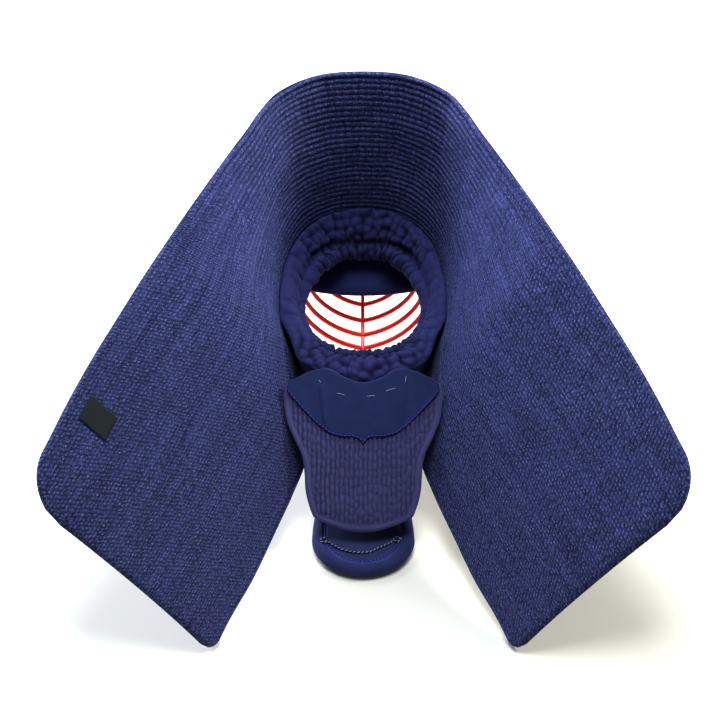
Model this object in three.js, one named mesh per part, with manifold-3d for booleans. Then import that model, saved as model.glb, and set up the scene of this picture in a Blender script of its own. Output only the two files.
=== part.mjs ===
// A kendo helmet of the usual kind: a quilted cloth that passes over the head and falls as two wings,
// sewn round a metal face grille, with a padded face ring, a forehead pad and two throat flaps.
// It lies face down on a flat surface, on the middle of its grille, the front corners of its wings and
// its outer throat flap. Sizes are millimetres and degrees.
// The head pieces are drawn as worn: X to the side, Y out of the face, Z up to the crown. The whole is
// then tipped forward until it rests. The throat flaps hang or lie, so they are drawn at rest.
import * as THREE from "three";
import { mergeVertices } from "three/addons/utils/BufferGeometryUtils.js";
import Module from "manifold-3d";

const wasm = await Module();
wasm.setup();

// Quilted cloth, as worn
const clothThickness = 8;
const wingHalfSpan = 305; // middle plane to the back corner of a wing
const backReach = 216; // rim plane back to the cloth's back edge over the crown
const crownRise = 177; // face centre up to that back edge
const wingDrop = 425; // face centre down to the front corner of a wing
const frontCornerRadius = 18;
const backCornerRadius = 42;

// Metal face grille
const rimHalfWidth = 84;
const rimHalfHeight = 125;
const rimCentre = -5; // height of the rim's middle above the face centre
const rimSquareness = 2.2; // 2 is an ellipse
const rimSweep = 8; // the rim's sides lie this much further back than its forehead and chin
const rimWidth = 5;
const rimDepth = 9;
const grilleDepth = 80; // rim plane forward to the middle bar
const barCount = 14;
const barRadius = 2.2;
const barDroop = 5; // degrees that each bar falls towards the middle bar
const barKeel = 0.2; // 0 is a smooth arch, 1 a sharp ridge
const middleBarWidth = 3.6;
const middleBarDepth = 7;

// Leather binding over the rim and the cloth's front edge
const bindingThickness = 2.6;
const bindingReach = 10; // how far it turns back over the cloth
const bindingOpen = { from: 117, to: 143 }; // degrees round the rim where the cloth leaves it
const bindingTaper = 4; // degrees over which the turned-back part grows beside that opening
const bindingBevel = 1;
const bindingSlack = 1.2; // between its turned-back part and the cloth
const seatGap = 0.4; // between pieces that are sewn or tied together
const clothSeat = 0.7; // between the cloth and the rim or the face ring that it is sewn to
const clothEdgeInset = 1; // the rim's front back to the cloth's sewn edge

// Padded face ring and forehead pad
const ringDepth = 60; // rim plane back to the ring's outer edge
const ringLipRadius = 7;
const padThickness = 12;
const padBottom = 62; // height of the forehead pad's straight lower edge
const padTopInset = 13; // rim outline down to the pad's upper edge
const padLean = 5; // how far its lower edge stands forward of its upper edge
const padClearance = 2.7; // between its sides and the bars
const padBulge = 12; // how far its middle stands forward of its sides

// Throat flaps, at rest
const innerFlapLength = 172;
const innerFlapHalfWidth = 81;
const innerFlapThickness = 9;
const innerFlapPitch = { top: 32, end: 41 }; // degrees below level
const lobeCurl = 12; // how far the side lobes curl up
const yokeThickness = 1.6;
const outerFlapLength = 196;
const outerFlapHalfWidth = 52;
const outerFlapThickness = 13;
const outerFlapLaid = 0.34; // share of its length that lies flat
const flapHang = 0.7; // slack where each flap hangs from the chin

// Woven label on one wing
const labelSize = 28;
const labelThickness = 0.9;

const rad = THREE.MathUtils.degToRad;
const lerp = THREE.MathUtils.lerp;
const vec = (x, y, z) => new THREE.Vector3(x, y, z);

// One row for each section of half the cloth, from the crown to the wing's end. Where rim is an angle
// the front edge is sewn to the rim there, otherwise frontOut, frontReach and frontDown place it.
// Out is a share of the wing's half span, reach of the back reach, and down of the whole height.
// Flare says how far the section runs straight back before it turns outwards, 0 to 1.
const clothRows = [
  { rim: 0, backOut: 0, backReach: 1, backDown: 0, flare: 0.75 },
  { rim: 21, backOut: 0.163, backReach: 1, backDown: 0.012, flare: 0.75 },
  { rim: 44, backOut: 0.298, backReach: 1, backDown: 0.06, flare: 0.72 },
  { rim: 61, backOut: 0.356, backReach: 1, backDown: 0.113, flare: 0.7 },
  { rim: 75, backOut: 0.4, backReach: 0.986, backDown: 0.161, flare: 0.68 },
  { rim: 91, backOut: 0.456, backReach: 0.968, backDown: 0.218, flare: 0.68 },
  { rim: 111, backOut: 0.53, backReach: 0.943, backDown: 0.297, flare: 0.68 },
  { rim: 128, backOut: 0.59, backReach: 0.92, backDown: 0.362, flare: 0.68 },
  {
    frontOut: 0.205, frontReach: 0, frontDown: 0.57,
    backOut: 0.651, backReach: 0.895, backDown: 0.43, flare: 0.6,
  },
  {
    frontOut: 0.203, frontReach: 0, frontDown: 0.63,
    backOut: 0.708, backReach: 0.87, backDown: 0.495, flare: 0.48,
  },
  {
    frontOut: 0.236, frontReach: 0, frontDown: 0.694,
    backOut: 0.764, backReach: 0.845, backDown: 0.565, flare: 0.38,
  },
  {
    frontOut: 0.301, frontReach: 0, frontDown: 0.792,
    backOut: 0.836, backReach: 0.81, backDown: 0.655, flare: 0.34,
  },
  {
    frontOut: 0.354, frontReach: 0, frontDown: 0.869,
    backOut: 0.893, backReach: 0.778, backDown: 0.736, flare: 0.31,
  },
  {
    frontOut: 0.42, frontReach: -0.009, frontDown: 0.943,
    backOut: 0.945, backReach: 0.745, backDown: 0.819, flare: 0.3,
  },
  {
    frontOut: 0.463, frontReach: -0.023, frontDown: 1,
    backOut: 1, backReach: 0.713, backDown: 0.887, flare: 0.28,
  },
];

// One row for each angle round the face ring. Lip is the inset of its inner edge and outer that of its
// outer edge where no cloth holds it, both shares of the rim's half width. Set is how far back the
// lip stands, a share of the ring's depth, and swell the fullness of the face between the two.
const ringRows = [
  { angle: 0, lip: 0.38, outer: -0.08, set: 0.32, swell: 0.1 },
  { angle: 45, lip: 0.3, outer: -0.06, set: 0.38, swell: 0.11 },
  { angle: 90, lip: 0.22, outer: -0.02, set: 0.5, swell: 0.14 },
  { angle: 118, lip: 0.25, outer: -0.04, set: 0.68, swell: 0.17 },
  { angle: 142, lip: 0.33, outer: -0.2, set: 0.8, swell: 0.18 },
  { angle: 162, lip: 0.39, outer: -0.1, set: 0.86, swell: 0.16 },
  { angle: 180, lip: 0.42, outer: -0.15, set: 0.88, swell: 0.2 },
];

// One row for each height of a flap, top to end: half width as a share of the flap's own.
const innerFlapRows = [
  { along: 0, wide: 0.86 },
  { along: 0.09, wide: 0.95 },
  { along: 0.19, wide: 1 },
  { along: 0.34, wide: 0.965 },
  { along: 0.45, wide: 0.87 },
  { along: 0.55, wide: 0.77 },
  { along: 0.64, wide: 0.735 },
  { along: 0.76, wide: 0.715 },
  { along: 0.86, wide: 0.66 },
  { along: 0.94, wide: 0.58 },
  { along: 1, wide: 0.46 },
];
// One row for each share of the half width: how far the flap's top edge lies below its highest point,
// and how far down the yoke's stitched edge lies, both shares of the flap's length.
const innerFlapTop = [
  { across: 0, top: 0.09, yoke: 0.45 },
  { across: 0.12, top: 0.082, yoke: 0.4 },
  { across: 0.3, top: 0.05, yoke: 0.385 },
  { across: 0.5, top: 0.004, yoke: 0.33 },
  { across: 0.75, top: 0.03, yoke: 0.22 },
  { across: 1, top: 0.125, yoke: 0.125 },
];
const outerFlapRows = [
  { along: 0, wide: 0.8 },
  { along: 0.2, wide: 0.84 },
  { along: 0.45, wide: 0.9 },
  { along: 0.62, wide: 0.98 },
  { along: 0.735, wide: 1 },
];

// The value of one column at a place between rows, with smooth joins.
function column(rows, key, name, at) {
  let i = rows.findIndex((row) => row[key] > at) - 1;
  if (i < 0) i = at < rows[0][key] ? 0 : rows.length - 2;
  const before = rows[Math.max(i - 1, 0)];
  const after = rows[Math.min(i + 2, rows.length - 1)];
  const [low, high] = [rows[i], rows[i + 1]];
  const step = high[key] - low[key];
  const share = THREE.MathUtils.clamp((at - low[key]) / step, 0, 1);
  const slopeLow = (high[name] - before[name]) / (high[key] - before[key]);
  const slopeHigh = (after[name] - low[name]) / (after[key] - low[key]);
  const s2 = share * share;
  const s3 = s2 * share;
  return (
    (2 * s3 - 3 * s2 + 1) * low[name] +
    (s3 - 2 * s2 + share) * step * slopeLow +
    (3 * s2 - 2 * s3) * high[name] +
    (s3 - s2) * step * slopeHigh
  );
}

// A closed surface from corners and triangles, with equal corners joined.
function closedGeometry(points, triangles) {
  const loose = new THREE.BufferGeometry();
  const coordinates = points.flatMap((point) => point.toArray());
  loose.setAttribute("position", new THREE.Float32BufferAttribute(coordinates, 3));
  loose.setIndex(triangles.flat());
  const merged = mergeVertices(loose, 1e-3);
  const index = Array.from(merged.index.array);
  const kept = [];
  for (let i = 0; i < index.length; i += 3) {
    const [a, b, c] = index.slice(i, i + 3);
    if (a !== b && b !== c && c !== a) kept.push(a, b, c);
  }
  merged.setIndex(kept);
  merged.computeVertexNormals();
  return merged;
}

// Turns a closed surface's faces outwards if they point inwards.
function facingOut(geometry) {
  const at = geometry.attributes.position;
  const index = geometry.index.array;
  const [a, b, c] = [vec(), vec(), vec()];
  let volume = 0;
  for (let i = 0; i < index.length; i += 3) {
    [a, b, c].forEach((corner, k) => corner.fromBufferAttribute(at, index[i + k]));
    volume += a.dot(b.cross(c));
  }
  if (volume < 0) {
    for (let i = 0; i < index.length; i += 3) [index[i + 1], index[i + 2]] = [index[i + 2], index[i + 1]];
  }
  geometry.computeVertexNormals();
  return geometry;
}

const quad = (a, b, c, d) => [
  [a, b, c],
  [a, c, d],
];

// A sheet with two faces: faceAt(i, j, side) gives a corner on its first or second face.
function sheetGeometry(rows, columns, faceAt) {
  const points = [];
  const triangles = [];
  const id = (i, j, side) => (i * (columns + 1) + j) * 2 + side;
  for (let i = 0; i <= rows; i++) {
    for (let j = 0; j <= columns; j++) points.push(faceAt(i, j, 0), faceAt(i, j, 1));
  }
  for (let i = 0; i < rows; i++) {
    for (let j = 0; j < columns; j++) {
      triangles.push(...quad(id(i, j, 0), id(i, j + 1, 0), id(i + 1, j + 1, 0), id(i + 1, j, 0)));
      triangles.push(...quad(id(i, j, 1), id(i + 1, j, 1), id(i + 1, j + 1, 1), id(i, j + 1, 1)));
    }
    triangles.push(...quad(id(i, 0, 0), id(i + 1, 0, 0), id(i + 1, 0, 1), id(i, 0, 1)));
    const end = [id(i, columns, 0), id(i, columns, 1), id(i + 1, columns, 1), id(i + 1, columns, 0)];
    triangles.push(...quad(...end));
  }
  for (let j = 0; j < columns; j++) {
    triangles.push(...quad(id(0, j, 0), id(0, j, 1), id(0, j + 1, 1), id(0, j + 1, 0)));
    triangles.push(...quad(id(rows, j, 0), id(rows, j + 1, 0), id(rows, j + 1, 1), id(rows, j, 1)));
  }
  return closedGeometry(points, triangles);
}

// A ring from sections that close on themselves.
function ringGeometry(sections) {
  const sides = sections[0].length;
  const triangles = [];
  sections.forEach((section, i) => {
    const next = (i + 1) % sections.length;
    for (let k = 0; k < sides; k++) {
      const m = (k + 1) % sides;
      triangles.push(...quad(i * sides + k, i * sides + m, next * sides + m, next * sides + k));
    }
  });
  return closedGeometry(sections.flat(), triangles);
}

// The rim's outline: 0 degrees at the forehead, 90 at the side and 180 at the chin. Inset moves the
// point inwards in the plane of the face, and y moves it out of the face.
function rimPoint(angle, inset = 0, y = 0) {
  const power = (value, exponent) => Math.sign(value) * Math.abs(value) ** exponent;
  const sine = power(Math.sin(rad(angle)), 2 / rimSquareness);
  const cosine = power(Math.cos(rad(angle)), 2 / rimSquareness);
  const normal = new THREE.Vector2(
    power(sine, rimSquareness - 1) / rimHalfWidth,
    power(cosine, rimSquareness - 1) / rimHalfHeight,
  ).normalize();
  return vec(
    rimHalfWidth * sine - inset * normal.x,
    y - rimSweep * sine * sine,
    rimCentre + rimHalfHeight * cosine - inset * normal.y,
  );
}

// Half the width at a height above the face centre, of the rim's outline moved inwards by an inset.
function rimHalfWidthAt(height, inset = 0) {
  const share = Math.abs((height - rimCentre) / (rimHalfHeight - inset));
  return (rimHalfWidth - inset) * Math.max(1 - share ** rimSquareness, 0) ** (1 / rimSquareness);
}

// The middle of the cloth's wall
const clothInset = -(clothSeat + clothThickness / 2);
const clothFront = rimDepth / 2 - clothEdgeInset;
const wholeHeight = crownRise + wingDrop;
const lastSewn = clothRows.findLastIndex((row) => row.rim !== undefined);
const frontPoints = clothRows.map((row) =>
  row.rim !== undefined
    ? rimPoint(row.rim, clothInset, clothFront)
    : vec(row.frontOut * wingHalfSpan, -row.frontReach * backReach, crownRise - row.frontDown * wholeHeight),
);
const backPoints = clothRows.map((row) =>
  vec(row.backOut * wingHalfSpan, -row.backReach * backReach, crownRise - row.backDown * wholeHeight),
);
const mirrored = (points) => [vec(-points[1].x, points[1].y, points[1].z), ...points];
const frontCurve = new THREE.CatmullRomCurve3(mirrored(frontPoints), false, "centripetal");
const backCurve = new THREE.CatmullRomCurve3(mirrored(backPoints), false, "centripetal");

// The row place, a count with a share, where the cloth is sewn at an angle of the rim.
function rowAtRim(angle) {
  const i = Math.min(Math.max(clothRows.findIndex((row) => row.rim >= angle) - 1, 0), lastSewn - 1);
  return i + (angle - clothRows[i].rim) / (clothRows[i + 1].rim - clothRows[i].rim);
}

function clothSection(place) {
  const last = clothRows.length;
  const i = Math.min(Math.floor(place), last - 2);
  const share = place - i;
  const flare = lerp(clothRows[i].flare, clothRows[i + 1].flare, share);
  const sewn = place <= lastSewn;
  const front = sewn
    ? rimPoint(lerp(clothRows[i].rim, clothRows[i + 1].rim ?? 0, share), clothInset, clothFront)
    : frontCurve.getPoint((place + 1) / last);
  const back = backCurve.getPoint((place + 1) / last);
  const knee = front.clone().add(back).multiplyScalar(0.5);
  knee.x = lerp(knee.x, front.x, flare);
  knee.z = lerp(knee.z, front.z, flare);
  return { front, knee, back };
}

// A point on the middle of the cloth's wall. Place runs from 0 at the crown to the last row, negative on
// the other side, and across from 0 at the front edge to 1 at the back edge.
function clothPoint(place, across) {
  const { front, knee, back } = clothSection(Math.abs(place));
  const point = front
    .multiplyScalar((1 - across) ** 2)
    .addScaledVector(knee, 2 * across * (1 - across))
    .addScaledVector(back, across ** 2);
  if (place < 0) point.x *= -1;
  return point;
}

const clothEnd = clothRows.length - 1;

// A point off the cloth's wall: a positive offset is on the outer side, away from the head.
function clothOff(place, across, offset) {
  const step = 0.02;
  const at = THREE.MathUtils.clamp(place, step - clothEnd, clothEnd - step);
  const over = THREE.MathUtils.clamp(across, step, 1 - step);
  const along = clothPoint(at + step, over).sub(clothPoint(at - step, over));
  const back = clothPoint(at, over + step).sub(clothPoint(at, over - step));
  const normal = back.cross(along).normalize();
  return clothPoint(place, across).addScaledVector(normal, offset);
}

// Where the cloth's rows of points lie: even along the strip, then closer round the corners.
function clothPlaces(sewnSteps, freeSteps, cornerSteps) {
  const lastRow = clothPoint(clothEnd, 0.5).distanceTo(clothPoint(clothEnd - 1, 0.5));
  const cornerStart = clothEnd - backCornerRadius / lastRow;
  const half = [];
  for (let i = 0; i < sewnSteps; i++) half.push((lastSewn * i) / sewnSteps);
  for (let i = 0; i < freeSteps; i++) half.push(lerp(lastSewn, cornerStart, i / freeSteps));
  for (let i = 0; i <= cornerSteps; i++) {
    const turn = (Math.PI / 2) * (i / cornerSteps);
    half.push(lerp(cornerStart, clothEnd, Math.sin(turn)));
  }
  const places = [...half.slice(1).map((p) => -p).reverse(), ...half];
  const cornerCut = (place, radius) => {
    const fromEnd = (clothEnd - Math.abs(place)) * lastRow;
    const inside = Math.max(radius - fromEnd, 0);
    return radius - Math.sqrt(radius * radius - inside * inside);
  };
  return places.map((place) => {
    const width = clothPoint(place, 0).distanceTo(clothPoint(place, 1));
    return {
      place,
      low: cornerCut(place, frontCornerRadius) / width,
      high: 1 - cornerCut(place, backCornerRadius) / width,
    };
  });
}

function quiltedCloth() {
  const columns = 9;
  const places = clothPlaces(19, 11, 6);
  return sheetGeometry(places.length - 1, columns, (i, j, side) => {
    const { place, low, high } = places[i];
    const offset = (side ? -1 : 1) * (clothThickness / 2);
    return clothOff(place, lerp(low, high, j / columns), offset);
  });
}

function solidFrom(geometry) {
  const bare = geometry.clone();
  bare.deleteAttribute("normal");
  bare.deleteAttribute("uv");
  const merged = facingOut(mergeVertices(bare, 1e-3));
  return new wasm.Manifold(
    new wasm.Mesh({
      numProp: 3,
      vertProperties: merged.attributes.position.array,
      triVerts: new Uint32Array(merged.index.array),
    }),
  );
}

function geometryFrom(solid) {
  const mesh = solid.getMesh();
  const geometry = new THREE.BufferGeometry();
  geometry.setAttribute("position", new THREE.BufferAttribute(mesh.vertProperties, 3));
  geometry.setIndex(new THREE.BufferAttribute(mesh.triVerts, 1));
  geometry.computeVertexNormals();
  return geometry;
}

function rimSections(corners, count) {
  return Array.from({ length: count }, (_, i) => {
    const angle = (360 * i) / count;
    return corners(angle).map(([inset, y]) => rimPoint(angle, inset, y));
  });
}

function swept(path, shape, steps) {
  return new THREE.ExtrudeGeometry(shape, { steps, extrudePath: path, bevelEnabled: false });
}

// How far out of the face the grille stands on its middle line at a height.
function ridgeAt(height) {
  const share = (height - rimCentre) / rimHalfHeight;
  return grilleDepth * Math.sqrt(Math.max(1 - share * share, 0));
}

function barPath(height) {
  const halfWidth = rimHalfWidthAt(height, rimWidth);
  const side = -rimSweep * (halfWidth / rimHalfWidth) ** 2;
  const reach = ridgeAt(height) - side;
  const points = [];
  const halfSteps = 8;
  for (let i = -halfSteps; i <= halfSteps; i++) {
    const share = Math.sin((Math.PI / 2) * (i / halfSteps));
    const arch = Math.sqrt(1 - share * share);
    const forward = reach * lerp(arch, 1 - Math.abs(share), barKeel);
    points.push(vec(share * halfWidth, side + forward, height - forward * Math.tan(rad(barDroop))));
  }
  return new THREE.CatmullRomCurve3(points);
}

// The grille: rim, bars and middle bar, welded into one piece
function faceGrille() {
  const half = rimDepth / 2;
  const rimCorners = [
    [0, -half],
    [0, half],
    [rimWidth, half],
    [rimWidth, -half],
  ];
  let solid = solidFrom(ringGeometry(rimSections(() => rimCorners, 56)));
  const round = new THREE.Shape();
  const sides = 6;
  for (let k = 0; k < sides; k++) {
    const turn = (2 * Math.PI * (k + 0.5)) / sides;
    const corner = [barRadius * Math.cos(turn), barRadius * Math.sin(turn)];
    if (k) round.lineTo(...corner);
    else round.moveTo(...corner);
  }
  for (let i = 1; i <= barCount; i++) {
    const height = rimCentre + rimHalfHeight * (1 - (2 * i) / (barCount + 1));
    solid = solid.add(solidFrom(swept(barPath(height), round, 14)));
  }
  const ridgeHalfHeight = rimHalfHeight - rimWidth - 1;
  const ridge = [];
  const ridgeSteps = 24;
  for (let i = 0; i <= ridgeSteps; i++) {
    const turn = rad(lerp(2, 178, i / ridgeSteps));
    ridge.push([grilleDepth * Math.sin(turn), rimCentre + ridgeHalfHeight * Math.cos(turn)]);
  }
  const middle = sheetGeometry(ridgeSteps, 1, (i, j, side) => {
    const [y, z] = ridge[i];
    const inner = j ? -middleBarDepth / 2 : middleBarDepth / 2;
    const tangent = new THREE.Vector2(y, z - rimCentre).normalize();
    const x = (side ? 1 : -1) * (middleBarWidth / 2);
    return vec(x, y + inner * tangent.x, z + inner * tangent.y);
  });
  return geometryFrom(solid.add(solidFrom(middle)));
}

// The binding lies on the rim's front and turns back over the cloth's outer face.
function rimBinding() {
  const half = rimDepth / 2;
  const low = half + seatGap;
  const high = low + bindingThickness;
  const inner = rimWidth - barRadius - bindingBevel;
  const overCloth = -(2 * clothSeat + clothThickness + bindingSlack);
  return ringGeometry(
    rimSections((angle) => {
      const turn = Math.min(angle, 360 - angle);
      const { from, to } = bindingOpen;
      const outer = lerp(overCloth, -seatGap, THREE.MathUtils.smoothstep(turn, from, to));
      const away = Math.min(Math.max(from - turn, turn - to, 0) / bindingTaper, 1);
      const back = lerp(half, half - bindingReach, away);
      return [
        [inner, low],
        [outer, low],
        [outer, back],
        [outer - bindingThickness, back],
        [outer - bindingThickness, high - bindingBevel],
        [outer - bindingThickness + bindingBevel, high],
        [inner, high],
      ];
    }, 72),
  );
}

// The outer edge of the face ring: against the cloth where that is sewn, and free round the chin.
function ringOuter(angle) {
  const side = angle > 180 ? -1 : 1;
  const turn = side > 0 ? angle : 360 - angle;
  const free = rimPoint(turn, rimHalfWidth * column(ringRows, "angle", "outer", turn), -ringDepth);
  const seat = Math.min(turn, clothRows[lastSewn].rim);
  const { front, back } = clothSection(rowAtRim(seat));
  const over = (front.y + ringDepth) / (front.y - back.y);
  const held = clothOff(rowAtRim(seat), over, -(clothThickness / 2 + clothSeat));
  const letGo = THREE.MathUtils.smoothstep(turn, 112, 132);
  const point = held.lerp(free, letGo);
  point.x *= side;
  return point;
}

function ringSection(angle) {
  const turn = angle > 180 ? 360 - angle : angle;
  const lip = rimHalfWidth * column(ringRows, "angle", "lip", turn);
  const set = ringDepth * column(ringRows, "angle", "set", turn);
  const swell = ringDepth * column(ringRows, "angle", "swell", turn);
  const outer = ringOuter(angle);
  const inner = rimPoint(angle, lip - ringLipRadius, -set);
  const face = (share, out) => {
    const point = outer.clone().lerp(inner, share);
    const outward = rimPoint(angle, -1).sub(rimPoint(angle, 0));
    return point.addScaledVector(vec(0, -1, 0), out * 0.8).addScaledVector(outward, -out * 0.6);
  };
  const front = -(rimDepth / 2 + seatGap);
  const lipFront = Math.min(front, ringLipRadius - set);
  return [
    rimPoint(angle, 1, front),
    rimPoint(angle, 1, front).lerp(outer, 0.5).lerp(rimPoint(angle, 2, -ringDepth / 2), 0.3),
    outer,
    face(0.3, swell),
    face(0.7, swell),
    rimPoint(angle, lip - ringLipRadius, -set - ringLipRadius * 0.9),
    rimPoint(angle, lip - ringLipRadius * 0.25, -set - ringLipRadius * 0.6),
    rimPoint(angle, lip, -set),
    rimPoint(angle, lip - ringLipRadius * 0.3, lipFront),
    rimPoint(angle, lip - ringLipRadius, Math.min(front, lipFront + 3)),
    rimPoint(angle, rimWidth + 1, front),
  ];
}

function faceRing() {
  const count = 56;
  return ringGeometry(Array.from({ length: count }, (_, i) => ringSection((360 * i) / count)));
}

function foreheadPad() {
  const rows = 6;
  const columns = 16;
  const top = rimCentre + rimHalfHeight - padTopInset;
  const rear = -(rimDepth / 2);
  return sheetGeometry(rows, columns, (i, j, side) => {
    const down = i / rows;
    const across = (2 * j) / columns - 1;
    const z = lerp(top, padBottom, down);
    const x = across * rimHalfWidthAt(z, rimWidth + barRadius + padClearance);
    const edge = Math.min(1 - Math.abs(across) ** 6, 1 - (2 * down - 1) ** 6);
    const half = (padThickness / 2) * (0.6 + 0.4 * Math.sqrt(Math.max(edge, 0)));
    const bulge = padBulge * (1 - across * across);
    const middle = rear + padThickness / 2 + (padLean + bulge) * down;
    return vec(x, middle + (side ? -half : half), z);
  });
}

// How the helmet rests: the forward tip and the lift that put the wing corners and the grille on z = 0.
function restingPlace(cloth, grille) {
  const lowest = (geometry, tip) => {
    const at = geometry.attributes.position;
    let low = Infinity;
    for (let i = 0; i < at.count; i++) {
      low = Math.min(low, at.getZ(i) * Math.cos(tip) - at.getY(i) * Math.sin(tip));
    }
    return low;
  };
  let [small, large] = [rad(60), rad(100)];
  for (let i = 0; i < 40; i++) {
    const middle = (small + large) / 2;
    if (lowest(cloth, middle) < lowest(grille, middle)) small = middle;
    else large = middle;
  }
  return { tip: small, lift: -Math.min(lowest(cloth, small), lowest(grille, small)) };
}

// A flap's middle line at rest, in the plane of symmetry, as y and z at a share of its length.
function innerFlapLine(start) {
  const steps = 40;
  const line = [start.clone()];
  for (let i = 0; i < steps; i++) {
    const pitch = rad(lerp(innerFlapPitch.top, innerFlapPitch.end, (i + 0.5) / steps));
    const step = innerFlapLength / steps;
    line.push(line[i].clone().add(vec(0, -step * Math.cos(pitch), -step * Math.sin(pitch))));
  }
  return (share) => {
    const at = THREE.MathUtils.clamp(share, 0, 1) * steps;
    const i = Math.min(Math.floor(at), steps - 1);
    const point = line[i].clone().lerp(line[i + 1], at - i);
    const along = line[i + 1].clone().sub(line[i]).normalize();
    return { point, normal: vec(0, -along.z, along.y).negate() };
  };
}

function innerFlapPoint(line, across, along, offset) {
  const { point, normal } = line(along);
  const wide = innerFlapHalfWidth * column(innerFlapRows, "along", "wide", along);
  const curl = lobeCurl * Math.abs(across) ** 3 * (1 - along);
  return vec(across * wide, point.y, point.z).addScaledVector(normal, offset + curl);
}

const flapEnd = (across) => 1 - 0.09 * Math.abs(across) ** 2.5;
const padEdge = (across, down) => {
  const edge = Math.min(1 - Math.abs(across) ** 8, 1 - Math.abs(2 * down - 1) ** 10);
  return 0.5 + 0.5 * Math.sqrt(Math.max(edge, 0));
};

function innerFlap(line) {
  const rows = 16;
  const columns = 16;
  return sheetGeometry(rows, columns, (i, j, side) => {
    const across = (2 * j) / columns - 1;
    const top = column(innerFlapTop, "across", "top", Math.abs(across));
    const along = lerp(top, flapEnd(across), i / rows);
    const half = (innerFlapThickness / 2) * padEdge(across, i / rows);
    return innerFlapPoint(line, across, along, side ? -half : half);
  });
}

// The yoke lies on the flap's upper part, a little inside its outline.
function innerFlapYoke(line) {
  const rows = 6;
  const columns = 20;
  const inside = 0.97;
  return sheetGeometry(rows, columns, (i, j, side) => {
    const across = ((2 * j) / columns - 1) * inside;
    const top = column(innerFlapTop, "across", "top", Math.abs(across)) + 0.012;
    const low = Math.max(column(innerFlapTop, "across", "yoke", Math.abs(across)), top + 0.015);
    const along = lerp(top, low, i / rows);
    const under = innerFlapThickness / 2 + seatGap;
    return innerFlapPoint(line, across, along, side ? under : under + yokeThickness);
  });
}

// The outer flap falls from the chin in a soft curve, and its end lies flat.
function outerFlap(start) {
  const rowsDown = 12;
  const rowsRound = 6;
  const columns = 10;
  const half = outerFlapThickness / 2;
  const roundShare = outerFlapHalfWidth / outerFlapLength;
  const straight = 1 - roundShare;
  const fall = start.z - half;
  const level = Math.sqrt(outerFlapLength ** 2 - fall ** 2);
  const rows = rowsDown + rowsRound;
  return sheetGeometry(rows, columns, (i, j, side) => {
    const across = (2 * j) / columns - 1;
    const turn = rad((90 * Math.max(i - rowsDown, 0)) / rowsRound);
    const along = i <= rowsDown ? (straight * i) / rowsDown : straight + roundShare * Math.sin(turn);
    const wide = outerFlapHalfWidth * column(outerFlapRows, "along", "wide", Math.min(along, straight));
    const drop = Math.min(along / (1 - outerFlapLaid), 1);
    const slope = (-fall * (Math.PI / 2) * Math.sin(Math.PI * drop)) / (level * (1 - outerFlapLaid));
    const normal = vec(0, slope, 1).normalize();
    const middle = half + (fall * (1 + Math.cos(Math.PI * drop))) / 2;
    return vec(across * wide * Math.cos(turn), start.y - level * along, middle).addScaledVector(
      normal,
      side ? -half : half,
    );
  });
}

// The label lies on the wing's inner face, square to the cloth's back edge.
function wingLabel() {
  const steps = 2;
  const centre = { place: -11.85, across: 0.89 };
  const middle = clothPoint(centre.place, centre.across);
  const rowLength = middle.distanceTo(clothPoint(centre.place - 1, centre.across));
  const width = clothPoint(centre.place, 0).distanceTo(clothPoint(centre.place, 1));
  return sheetGeometry(steps, steps, (i, j, side) => {
    const place = centre.place - ((i / steps - 0.5) * labelSize) / rowLength;
    const across = centre.across + ((j / steps - 0.5) * labelSize) / width;
    const under = clothThickness / 2 + seatGap;
    return clothOff(place, across, side ? -under : -(under + labelThickness));
  });
}

const finish = {
  cloth: { color: 0x2b2f66, roughness: 0.95, metalness: 0 },
  grille: { color: 0xb3221c, roughness: 0.35, metalness: 0.1 },
  binding: { color: 0x15161f, roughness: 0.55, metalness: 0 },
  padding: { color: 0x262750, roughness: 0.95, metalness: 0 },
  forehead: { color: 0x1b1e3a, roughness: 0.9, metalness: 0 },
  flap: { color: 0x33305c, roughness: 0.95, metalness: 0 },
  yoke: { color: 0x1d2450, roughness: 0.8, metalness: 0 },
  label: { color: 0x16211f, roughness: 0.9, metalness: 0 },
};

function piece(name, geometry, look) {
  const mesh = new THREE.Mesh(geometry, new THREE.MeshStandardMaterial(look));
  mesh.name = name;
  return mesh;
}

const cloth = facingOut(quiltedCloth());
const grille = facingOut(faceGrille());
const { tip, lift } = restingPlace(cloth, grille);

const worn = new THREE.Group();
worn.rotation.x = -tip;
worn.position.z = lift;
worn.add(
  piece("quilted_cloth", cloth, finish.cloth),
  piece("face_grille", grille, finish.grille),
  piece("rim_binding", facingOut(rimBinding()), finish.binding),
  piece("face_ring", facingOut(faceRing()), finish.padding),
  piece("forehead_pad", facingOut(foreheadPad()), finish.forehead),
  piece("wing_label", facingOut(wingLabel()), finish.label),
);
worn.updateMatrixWorld(true);

// The dip in the inner flap's top edge hangs at the ring's chin.
const dip = column(innerFlapTop, "across", "top", 0) * innerFlapLength;
const topPitch = rad(innerFlapPitch.top);
const flapTop = ringOuter(180).applyMatrix4(worn.matrixWorld);
flapTop.add(vec(0, dip * Math.cos(topPitch) - flapHang - seatGap, dip * Math.sin(topPitch)));
const flapLine = innerFlapLine(flapTop);
const chin = rimPoint(180, -(seatGap + bindingThickness + 2 * flapHang), 0).applyMatrix4(worn.matrixWorld);

const root = new THREE.Group();
root.add(
  worn,
  piece("inner_throat_flap", facingOut(innerFlap(flapLine)), finish.flap),
  piece("inner_flap_yoke", facingOut(innerFlapYoke(flapLine)), finish.yoke),
  piece("outer_throat_flap", facingOut(outerFlap(chin)), finish.yoke),
);

// The origin is on the surface that it lies on, below the middle of its box.
const box = new THREE.Box3().setFromObject(root, true);
root.position.set(-(box.min.x + box.max.x) / 2, -(box.min.y + box.max.y) / 2, -box.min.z);

export default root;
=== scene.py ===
# A kendo helmet lying face down, seen from behind into its open side.
import math

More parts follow.
